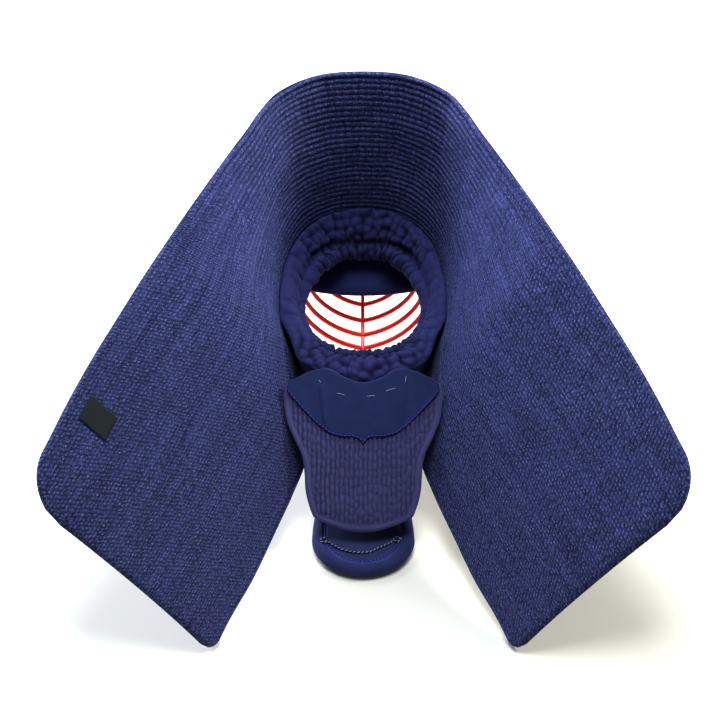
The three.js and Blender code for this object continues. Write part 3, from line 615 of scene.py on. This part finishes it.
def faceRing(material):
    angle = np.linspace(0, 360, ring["around"], endpoint=False)
    sections = ringSections(angle)
    # Where along its outline each corner lies, so that the gathers keep to the same band all round
    grid = np.stack([evenLoop(section, ring["sides"], 5) for section in sections])
    lengths = np.linalg.norm(np.diff(np.concatenate([sections, sections[:, :1]], axis=1), axis=1), axis=2)
    whole = lengths.sum(axis=1)
    at = np.linspace(0, 1, ring["sides"], endpoint=False)[None, :] * whole[:, None]
    outerAt, lipAt = lengths[:, :2].sum(axis=1)[:, None], lengths[:, :7].sum(axis=1)[:, None]
    inward = closedNormals(grid)
    if (inward * (grid - grid.mean(axis=1, keepdims=True))).sum() > 0:
        inward = -inward
    turn = toRight(angle)[:, None]
    gathered = np.maximum(1 - smoothStep(turn, 48, 80), smoothStep(turn, 118, 142))
    facing = smoothStep(at, outerAt - 4, outerAt + 5) * (1 - smoothStep(at, lipAt + 12, lipAt + 24))
    onLip = bell(at, lipAt - 1, 9)
    # Round padding between gathers. The cells close up after one turn, as the noise does after 64
    around = angle[:, None] / 360 * ring["cells"]
    u = around + 0.35 * softNoise(around, at / 18, 24)
    cells = domes(u, (at - outerAt) / ring["puff"] + 20, 21, ring["cells"])
    folds = domes(u, (at - lipAt) / 60 + 30.5, 22, ring["cells"])
    full = facing * mix(0.4, 1, gathered)
    rolled = onLip * mix(0.45, 1, gathered)
    depth = full * (ring["crease"] * (1 - cells) - ring["plump"]) + rolled * ring["lipCrease"] * (1 - folds)
    byPad = smoothStep(turn, 16, 40) * (1 - smoothStep(turn, 70, 95))
    slack = 0.48 * softNoise(around, at / 24, 23)
    depth += facing * slack - onLip * (ring["lipPlump"] + ring["lipByPad"] * byPad)
    valley = bell(at, lipAt - 17, 3.5) * gathered
    depth += valley * ring["valley"]
    # Painted shade for the creases, the lip folds and the valley, passed to the material as the third cloth
    # coordinate
    shade = np.clip(full * (1 - cells) + 0.8 * rolled * (1 - folds) + 0.8 * valley, 0, 1)
    grid = toRest(grid + inward * depth[..., None])
    faces = outwards(grid, gridFaces(len(angle), ring["sides"], True, True))
    made = makeObject("faceRing", grid, faces, material, coords=stack(u * ring["cellLength"], at, shade))
    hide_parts("face_ring")


# The puffs catch the light and the creases between them are painted dark as shade, so the gathers read from
# afar
gatheredCotton = plainCotton("gathered indigo cotton", "282c5c", "3d4278", "0f1230")
faceRing(gatheredCotton)
print("face ring made")


# Forehead pad: a half moon of plain dark cotton inside the top of the ring

pad = dict(thickness=12, bottom=62, topInset=13, lean=8.5, clearance=4.9, bulge=8)


def foreheadPad(material):
    down = np.linspace(0, 1, 40)[:, None]
    across = np.linspace(-1, 1, 90)[None, :]
    top = rim["centre"] + rim["halfHeight"] - pad["topInset"]
    z = mix(top, pad["bottom"], down) + 0 * across
    x = across * rimHalfWidthAt(z, rim["width"] + pad["clearance"])
    edge = np.minimum(1 - np.abs(across) ** 6, 1 - np.abs(2 * down - 1) ** 6)
    half = pad["thickness"] / 2 * np.sqrt(np.maximum(edge, 0.004))
    bulge = pad["bulge"] * (1 - across**2)
    creases = 0.5 * softNoise(across * 14 + 30, down * 1.5, 31) * np.clip(edge * 2, 0, 1)
    middle = -rim["depth"] / 2 + pad["thickness"] / 2 + (pad["lean"] + bulge) * down
    front, back = (toRest(stack(x, y, z)) for y in (middle + half, middle - half - creases))
    made = makeSkin("foreheadPad", front, back, stack(x, z, 0), material)
    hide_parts("forehead_pad")


# Dyed nearly black, so the pad is the quietest place inside the ring
darkCotton = plainCotton("plain dark cotton", "1d2452", "29305e", "0a0c28")
foreheadPad(darkCotton)
print("forehead pad made")


# Face grille: rim, bars and middle bar, lacquered red on the wearer's side. Its rim is bound in leather.

bar = dict(count=14, radius=2.8, droop=5, keel=0.2, middleWidth=4.4, middleDepth=7, dome=79.6, sides=14)


def smoothLeather():
    # Dyed and polished cowhide. Pores of about 0.3 mm break up its soft shine.
    material, tree, surface = newMaterial("smooth dark leather", Base_Color=fromHex("17181f"), Roughness=0.5)
    pores = addNode(tree, "TexVoronoi", {"Scale": 900.0})["Distance"]
    bump = addNode(tree, "Bump", {"Height": pores, "Strength": 0.3, "Distance": 0.0003})
    tree.links.new(bump[0], surface.inputs["Normal"])
    return material


def lacqueredMetal():
    # Polished duralumin, the usual metal of such bars, with red lacquer on the wearer's side. The tint
    # says where the lacquer is, and streaks of about 2 mm make it look brushed on.
    material, tree, surface = newMaterial("lacquered metal", Coat_Weight=0.3, Coat_Roughness=0.15)
    tint = addNode(tree, "Attribute", attribute_name="tint")["Fac"]
    streaks = addNode(tree, "TexNoise", {"Scale": 90.0, "Detail": 2.0})["Fac"]
    lacquer = {"Fac": streaks, "Color1": fromHex("cf181a"), "Color2": fromHex("f4301f")}
    red = addNode(tree, "MixRGB", lacquer)[0]
    colour = addNode(tree, "MixRGB", {"Fac": tint, "Color1": fromHex("b9bcc0"), "Color2": red})[0]
    tree.links.new(colour, surface.inputs["Base Color"])
    metal = addNode(tree, "MapRange", {"Value": tint, 3: 1.0, 4: 0.0})[0]
    tree.links.new(metal, surface.inputs["Metallic"])
    gloss = addNode(tree, "MapRange", {"Value": tint, 3: 0.28, 4: 0.38})[0]
    tree.links.new(gloss, surface.inputs["Roughness"])
    return material


def ridgeAt(height):
    share = (height - rim["centre"]) / rim["halfHeight"]
    return bar["dome"] * np.sqrt(np.maximum(1 - share**2, 0))


def barPath(height):
    share = np.sin(np.linspace(-1, 1, 57) * math.pi / 2)
    halfWidth = rimHalfWidthAt(height, rim["width"])
    side = -rim["sweep"] * (halfWidth / rim["halfWidth"]) ** 2
    keeled = mix(np.sqrt(np.maximum(1 - share**2, 0)), 1 - np.abs(share), bar["keel"])
    forward = (ridgeAt(height) - side) * keeled
    return stack(
        share * halfWidth, side + forward, height - forward * math.tan(math.radians(bar["droop"])))


def sweptRing(corners, around, sides, passes=2):  # a closed section swept round the rim's outline
    angle = np.linspace(0, 360, around, endpoint=False)
    grid = np.stack([
        rimPoint(turn, loop[:, 0], loop[:, 1])
        for turn, loop in ((a, evenLoop(corners(a), sides, passes)) for a in angle)
    ])
    return grid, outwards(grid, gridFaces(around, sides, True, True))


def faceGrille(material, leather):
    half = rim["depth"] / 2
    corners = [[0, -half], [0, half], [rim["width"], half], [rim["width"], -half]]
    rimGrid, rimFaces = sweptRing(lambda angle: corners, 200, 24)
    boundRim = makeObject("boundRim", toRest(rimGrid), rimFaces, leather)
    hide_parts("face_grille")
    parts, tints = [], []
    for i in range(1, bar["count"] + 1):
        height = rim["centre"] + rim["halfHeight"] * (1 - 2 * i / (bar["count"] + 1))
        path = barPath(height)
        tube = makeTube(path, bar["radius"], bar["sides"])
        parts.append(tube)
        outside = unit(path - np.array([0, -60, height]))
        facing = (tube[2] * np.repeat(outside, bar["sides"], axis=0)).sum(axis=1)
        tints.append(1 - smoothStep(facing, 0.25, 0.55))
    turn = np.radians(np.linspace(2, 178, 80))
    tallness = rim["halfHeight"] - rim["width"] - 1
    line = np.stack([bar["dome"] * np.sin(turn), rim["centre"] + tallness * np.cos(turn)], axis=1)
    outwardLine = unit(line - np.array([0, rim["centre"]]))
    w, d = bar["middleWidth"] / 2, bar["middleDepth"] / 2
    section = evenLoop([(-w, -d), (w, -d), (w, d), (-w, d)], 20, 1)
    spine = line[:, None] + section[:, 1, None] * outwardLine[:, None]
    grid = stack(section[:, 0], spine[..., 0], spine[..., 1])
    parts.append((grid, outwards(grid, closedTube(*grid.shape[:2]))))
    tints.append(np.tile(1 - smoothStep(section[:, 1], 0.5, 2.5), len(grid)))
    points, faces = joinParts(parts)
    made = makeObject("faceGrille", toRest(points), faces, material, tints=np.concatenate(tints))
    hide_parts("face_grille")


darkLeather = smoothLeather()
faceGrille(lacqueredMetal(), darkLeather)
print("face grille made")


# Binding: leather over the rim's front, turned back over the cloth

binding = dict(thickness=2.6, lap=1.8, reach=10, opened=(117, 143), taper=4, bevel=1, slack=1.2)


def bindingCorners(angle):
    turn = min(angle, 360 - angle)
    low = rim["depth"] / 2 + seatGap
    high = low + binding["thickness"]
    inner, bevel = binding["lap"], binding["bevel"]
    overCloth = -(2 * cloth["seat"] + cloth["thickness"] + binding["slack"])
    outer = float(mix(overCloth, -seatGap, smoothStep(turn, *binding["opened"])))
    away = min(max(binding["opened"][0] - turn, turn - binding["opened"][1], 0) / binding["taper"], 1)
    back = mix(rim["depth"] / 2, rim["depth"] / 2 - binding["reach"], away)
    far = outer - binding["thickness"]
    folded = [(outer, back), (far, back), (far, high - bevel), (far + bevel, high)]
    return [(inner, low), (outer, low), *folded, (inner, high)]


def rimBinding(material):
    grid, faces = sweptRing(bindingCorners, 240, 36, 1)
    made = makeObject("rimBinding", toRest(grid), faces, material)
    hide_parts("rim_binding")


rimBinding(darkLeather)
print("rim binding made")


# Throat flaps, drawn as they rest

flap = dict(
    length=172, halfWidth=81, thickness=9, pitch=(32, 41), curl=12, hang=0.7, channel=4.8, border=5.5,
    yoke=1.6, yokeWidth=0.97, yokeTop=0.012, yokeHem=0.006,
)
flapRows = [dict(along=a, wide=w) for a, w in [
    (0, 0.86), (0.09, 0.95), (0.19, 1), (0.34, 0.965), (0.45, 0.87), (0.55, 0.77),
    (0.64, 0.735), (0.76, 0.715), (0.86, 0.66), (0.94, 0.58), (1, 0.46),
]]
flapTop = [dict(across=a, top=t, yoke=y) for a, t, y in [
    (0, 0.09, 0.484), (0.05, 0.089, 0.455), (0.12, 0.082, 0.443), (0.3, 0.05, 0.438), (0.45, 0.013, 0.42),
    (0.57, 0.006, 0.378), (0.75, 0.03, 0.285), (0.9, 0.08, 0.204), (1, 0.125, 0.15),
]]
flapStart = toRest(ringOuter(np.array([180.0])))[0]
dip, topPitch = flapTop[0]["top"] * flap["length"], math.radians(flap["pitch"][0])
flapStart = flapStart + [0, dip * math.cos(topPitch) - flap["hang"] - seatGap, dip * math.sin(topPitch)]


def flapWidth(along):
    return flap["halfWidth"] * readColumn(flapRows, "along", "wide", along)


def flapMark(name, across):  # how far down the flap its top edge or its yoke's edge lies, as a share
    return readColumn(flapTop, "across", name, np.abs(across))


def flapPoint(across, along, offset):
    steps = 40
    pitch = np.radians(mix(*flap["pitch"], (np.arange(steps) + 0.5) / steps))
    moves = np.stack([-np.cos(pitch), -np.sin(pitch)], axis=1) * flap["length"] / steps
    line = np.vstack([[0, 0], np.cumsum(moves, axis=0)]) + flapStart[1:]
    marks = np.linspace(0, 1, steps + 1)
    y, z = (np.interp(along, marks, line[:, k]) for k in (0, 1))
    angle = np.interp(along, marks[:-1] + 0.5 / steps, pitch)
    lift = offset + flap["curl"] * np.abs(across) ** 3 * (1 - along)
    return stack(across * flapWidth(along), y - np.sin(angle) * lift, z + np.cos(angle) * lift)


def innerFlap(material):
    down = np.linspace(0, 1, 130)[:, None]
    across = np.sin(np.linspace(-1, 1, 190) * math.pi / 2 * 0.8)[None, :] / math.sin(math.pi / 2 * 0.8)
    along = mix(flapMark("top", across), 1 - 0.09 * np.abs(across) ** 2.5, down)
    wide = flapWidth(along)
    u, v = across * wide, along * flap["length"] + 0 * across
    toSide = (1 - np.abs(across)) * wide
    toEnd = np.minimum(down, 1 - down) * (flap["length"] * 0.86)
    fromEdge = np.minimum(toSide, toEnd)
    rounded = np.minimum(1 - np.abs(across) ** 8, 1 - np.abs(2 * down - 1) ** 10)
    half = flap["thickness"] / 2 * np.sqrt(np.maximum(rounded, 0.003))
    # Soft channels down the flap, inside a plain border with a seam
    sewn = smoothStep(fromEdge, flap["border"] - 1, flap["border"] + 3)
    channels = np.abs(np.sin(math.pi * (u + 0.8 * softNoise(u / 30 + 5, v / 25, 41)) / flap["channel"]))
    seam = -0.8 * bell(fromEdge, flap["border"], 1.5)
    pads = 1.2 * (puffs(u / flap["channel"] + 30, v / 9 + 3, 42) - 1)
    relief = seam + sewn * (1.2 * (channels**0.8 - 1) + pads)
    sag = 1.2 * softNoise(u / 35 + 12, v / 40 + 8, 43)
    sag *= smoothStep(fromEdge, 4, 20) * smoothStep(along, 0.5, 0.7)
    over = flapPoint(across, along, half + relief + sag)
    under = flapPoint(across, along, -half - 0.6 * relief + sag)
    # Painted shade in the channels and between the pads, carried as the third cloth coordinate
    coords = stack(u, v, sewn * (0.35 * (1 - channels) ** 1.2 - 0.35 * pads))
    made = makeSkin("innerThroatFlap", over, under, coords, material)
    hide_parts("inner_throat_flap")


def flapYoke(material):
    across = np.linspace(-1, 1, 140)[None, :] * flap["yokeWidth"]
    down = np.linspace(0, 1, 50)[:, None]
    top = flapMark("top", across) + flap["yokeTop"]
    low = np.maximum(flapMark("yoke", across), top + 0.015)
    along = mix(top, low, down)
    wide = flapWidth(along)
    u, v = across * wide, along * flap["length"] + 0 * across
    toEnd = np.minimum(down, 1 - down) * (low - top) * flap["length"]
    edge = np.minimum(toEnd, (flap["yokeWidth"] - np.abs(across)) * wide)
    under = flap["thickness"] / 2 + 0.25
    folds = sum(
        height * bell(u, x + lean * (v - 40), spread) * smoothStep(v, 8, 30)
        for x, lean, spread, height in ((-41, 0.12, 2.6, 1.5), (40, -0.1, 2.4, 1.3), (5, 0.3, 9, 0.6))
    )
    thick = flap["yoke"] * np.sqrt(np.clip(edge / 1.6, 0.03, 1)) + folds * smoothStep(edge, 1, 12)
    faces = [flapPoint(across, along, under + height) for height in (thick, 0 * thick)]
    made = makeSkin("flapYoke", *faces, stack(u, v, 0), material)
    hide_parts("inner_flap_yoke")
    return made


# The flap has faded towards purple, and the short nap of its yoke looks smoother and bluer beside it
purpleCotton = plainCotton("purple navy cotton", "42436e", "545580", "1f1f3e", relief=1.4)
napped = plainCotton("navy brushed cloth", "18224c", "263360", "0a0c28", roughness=0.8, relief=0.25)
innerFlap(purpleCotton)
yoke = flapYoke(napped)


def stitches(name, path, length, gap, radius, material, rise=0.2):  # short arched threads along a path
    walked = walkedAlong(path)
    arch = rise * np.array([-1, 0.6, 1, 0.6, -1])
    parts = []
    for start in np.arange(0, walked[-1] - length, length + gap):
        line = pointsAt(path, walked, start + np.linspace(0, length, 5))
        line[:, 2] += arch
        parts.append(makeTube(line, radius, 6))
    made = makeObject(name, *joinParts(parts), material)
    return made


violetThread = plainThread("violet thread", "4644b4")
whiteThread = plainThread("white thread", "a4abc8")
blackThread = plainThread("black thread", "0b0c14")
over = flap["thickness"] / 2 + flap["yoke"] + 0.35
across = np.linspace(-0.95, 0.95, 300)
yokeEdge = flapPoint(across, flapMark("yoke", across) - flap["yokeHem"], over)
yokeParts = [stitches("yokeStitches", yokeEdge, 2.6, 1.6, 0.42, violetThread)]
tacks = [  # from and to, each across and down the flap as shares
    ((-0.335, 0.173), (-0.23, 0.185)), ((0.02, 0.195), (0.155, 0.188)), ((0.29, 0.16), (0.42, 0.143)),
    ((-0.59, 0.095), (-0.535, 0.122)), ((0.585, 0.07), (0.545, 0.113)),
]
for k, ends in enumerate(tacks):
    share = np.linspace(0, 1, 12)
    line = flapPoint(mix(ends[0][0], ends[1][0], share), mix(ends[0][1], ends[1][1], share), over + 0.2)
    reach = np.linalg.norm(line[-1] - line[0]) * 0.96
    yokeParts.append(stitches(f"tackStitch{k + 1}", line, reach, 1, 0.28, whiteThread))
print("inner throat flap made")


# Outer throat flap: it hangs from the chin and then lies on the surface, with a half-round end

lower = dict(length=196, halfWidth=52, thickness=13, laid=0.34, band=13, groove=2.2, innerGroove=1.6)
lowerRows = [
    dict(along=a, wide=w) for a, w in [(0, 0.8), (0.2, 0.84), (0.45, 0.9), (0.62, 0.98), (0.735, 1)]
]
lowerHalf = lower["thickness"] / 2
straight = 1 - lower["halfWidth"] / lower["length"]
chin = toRest(rimPoint(180, -(seatGap + binding["thickness"] + 2 * flap["hang"]), 0))
fall = chin[2] - lowerHalf
level = math.sqrt(lower["length"] ** 2 - fall**2)


def lowerWidth(along):
    return lower["halfWidth"] * readColumn(lowerRows, "along", "wide", np.minimum(along, straight))


def lowerFlapPoint(across, along, turn, offset):  # turn goes round the end, and is 0 before it
    drop = np.minimum(along / (1 - lower["laid"]), 1)
    slope = -fall * (math.pi / 2) * np.sin(math.pi * drop) / (level * (1 - lower["laid"]))
    size = np.hypot(slope, 1)
    middle = lowerHalf + fall * (1 + np.cos(math.pi * drop)) / 2
    return stack(
        across * lowerWidth(along) * np.cos(turn),
        chin[1] - level * along + offset * slope / size,
        middle + offset / size,
    )


def lowerFlap(material):
    # 90 rows down to where the end begins to round, and 40 rows round it
    turn = np.concatenate([np.zeros(90), np.linspace(0, 0.985, 40) * math.pi / 2])[:, None]
    down = np.concatenate([np.linspace(0, 1, 90), np.ones(40)])[:, None] * straight
    across = np.sin(np.linspace(-1, 1, 110) * math.pi / 2)[None, :]
    along = down + (1 - straight) * np.sin(turn) + 0 * across
    wide = lowerWidth(along)
    u, v = across * wide * np.cos(turn), along * lower["length"]
    past = np.maximum(v - straight * lower["length"], 0)
    fromEdge = wide - np.hypot(u, past * wide / lower["halfWidth"])
    fromEdge = np.minimum(np.maximum(fromEdge, 0), v)
    profile = lowerHalf * np.sqrt(np.clip(1 - (1 - np.clip(fromEdge / 9, 0, 1)) ** 2, 0.003, 1))
    relief = -lower["groove"] * bell(fromEdge, lower["band"], 2.2)
    relief -= 1.3 * smoothStep(fromEdge, lower["band"] - 1, lower["band"] + 5)
    relief += 0.5 * softNoise(u / 20 + 20, v / 20 + 10, 51) * smoothStep(fromEdge, 2, 10)
    over = lowerFlapPoint(across, along, turn, profile + relief)
    under = lowerFlapPoint(across, along, turn, -profile)
    made = makeSkin("outerThroatFlap", over, under, stack(v, u, 0), material)
    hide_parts("outer_throat_flap")


# The same brushed cloth, in a darker tone than the inner flap
dyedCloth = plainCotton("brushed flap cloth", "20264e", "323966", "0a0c28", roughness=0.85, relief=0.3)
lowerFlap(dyedCloth)


def onLowerFlap(x, along, offset):  # x sideways in millimetres, along a share of its length
    turn = np.arcsin(np.clip((along - straight) / (1 - straight), 0, 1))
    return lowerFlapPoint(x / (lowerWidth(along) * np.cos(turn)), along, turn, lowerHalf + offset)


inset = lower["halfWidth"] - lower["band"]
bend = np.radians(np.linspace(-90, 90, 120))
sideRun = np.linspace(0.5, straight, 40, endpoint=False)
seamX = np.concatenate([-inset + 0 * sideRun, inset * np.sin(bend), inset + 0 * sideRun])
seamAlong = np.concatenate([sideRun, straight + inset / lower["length"] * np.cos(bend), sideRun[::-1]])
seamLine = onLowerFlap(seamX, seamAlong, -lower["groove"])
innerLine = onLowerFlap(seamX * 0.93, seamAlong - 0.008, -lower["innerGroove"])
stitches("flapSeam", seamLine, 2.2, 1.3, 0.55, violetThread)
stitches("flapSeamInner", innerLine, 1.6, 2.4, 0.4, violetThread)

# A twisted cord of black and white thread, sewn down in a shallow curve with a loop at each end
cord = dict(loopRadius=3.2, loops=((-39.5, 145.5), (34, 144.5)), twist=4.2, apart=0.62, sunk=0.2)
cordMarks = [  # sideways from the middle, and down the flap
    (-30.3, 152.6), (-22.2, 158.3), (-12.3, 162), (-2.7, 163.5), (6.7, 161.9), (17.7, 155.1), (27.8, 148.5),
]
turn = np.radians(np.linspace(-150, 150, 14))
startLoop, endLoop = (
    [(x + side * cord["loopRadius"] * math.cos(a), y + cord["loopRadius"] * math.sin(a)) for a in turn]
    for side, (x, y) in zip((-1, 1), cord["loops"])
)
marks = np.array(startLoop + cordMarks + endLoop)
cordFlat = softCurve(np.column_stack([marks, np.zeros(len(marks))]), np.linspace(0, 1, 400))
cordLine = onLowerFlap(cordFlat[:, 0], cordFlat[:, 1] / level, -cord["sunk"])
walked = walkedAlong(cordLine)
ahead = unit(np.gradient(cordLine, axis=0))
sideways = unit(np.cross(ahead, [0, 0, 1.0]))
strands = [("blackStrand", 0, 0.85, blackThread), ("whiteStrand", math.pi, 0.42, whiteThread)]
for name, phase, radius, thread in strands:
    turn = (walked / cord["twist"] * 2 * math.pi + phase)[:, None]
    away = sideways * np.cos(turn) + np.cross(sideways, ahead) * np.sin(turn)
    points, faces, _ = makeTube(cordLine + cord["apart"] * away, radius, 7)
    makeObject(name, points, faces, thread)
print("outer throat flap made")


# Label: a plain woven patch on the left wing's inner face

def wingLabel(material):
    steps = 24
    middle = clothPoint(label["place"], label["across"])
    rowLength = np.linalg.norm(middle - clothPoint(label["place"] - 1, label["across"]))
    share = np.linspace(-0.5, 0.5, steps)
    u, v = np.meshgrid(share * label["size"], share * label["size"], indexing="ij")
    place, across = label["place"] - u / rowLength, label["across"] + v / clothWidth(label["place"])
    edge = label["size"] / 2 - np.maximum(np.abs(u), np.abs(v))
    under = cloth["thickness"] / 2 + seatGap
    thick = label["thickness"] * np.sqrt(np.clip(edge / 1.2, 0.05, 1))
    faces = [toRest(clothOff(place, across, -(under + height))) for height in (thick, 0 * u)]
    made = makeSkin("wingLabel", *faces, stack(u, v, 0), material)
    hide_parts("wing_label")


# Tightly woven tape, near black, which gives the eye a flat, slightly shiny patch
wingLabel(plainCotton("woven label", "0d1516", "152022", "050808", roughness=0.7))
print("label made")


# Floor, light and camera

def paperFloor():
    # Pale matt paper, just off white.
    material = newMaterial(
        "pale paper", Base_Color=fromHex("e0e1d8"), Roughness=0.75, Specular_IOR_Level=0.2)[0]
    bpy.ops.mesh.primitive_plane_add(size=14, location=(0, 2, -0.0002))
    floor = bpy.context.object
    floor.name = "paperFloor"
    floor.data.materials.append(material)


def areaLight(name, place, target, size, power, colour):
    data = bpy.data.lights.new(name, "AREA")
    data.shape = "DISK"
    data.size = size
    data.energy = power
    data.color = fromHex(colour)[:3]
    light = bpy.data.objects.new(name, data)
    light.location = place
    light.rotation_euler = (Vector(target) - Vector(place)).to_track_quat("-Z", "Y").to_euler()
    scene.collection.objects.link(light)


paperFloor()
areaLight("rightWindow", (2.3, 0.9, 1.9), (0, 0, 0.15), 1.3, 80, "fffaf2")
areaLight("leftWindow", (-1.8, 2.3, 1.6), (0.1, -0.1, 0.1), 2.6, 215, "f4f6ff")
areaLight("ceiling", (0.0, 0.2, 2.9), (0, 0, 0), 1.6, 60, "f6f8ff")
world = bpy.data.worlds.new("room")
scene.world = world
world.use_nodes = True
room = world.node_tree.nodes["Background"].inputs
room["Color"].default_value = fromHex("e4e8ea")
room["Strength"].default_value = 0.16

# The camera looks 36 degrees down, from a metre and a half away
view = dict(lens=70, sensor=36, place=(-0.0033, -1.1641, 0.992), towards=(0, 0.806, -0.592))
cameraData = bpy.data.cameras.new("camera")
cameraData.lens = view["lens"]
cameraData.sensor_width = view["sensor"]
camera = bpy.data.objects.new("camera", cameraData)
camera.location = view["place"]
camera.rotation_euler = Vector(view["towards"]).to_track_quat("-Z", "Y").to_euler()
scene.collection.objects.link(camera)
scene.camera = camera
scene.view_settings.view_transform = "Standard"
scene.view_settings.gamma = 0.85
scene.view_settings.exposure = 0.4
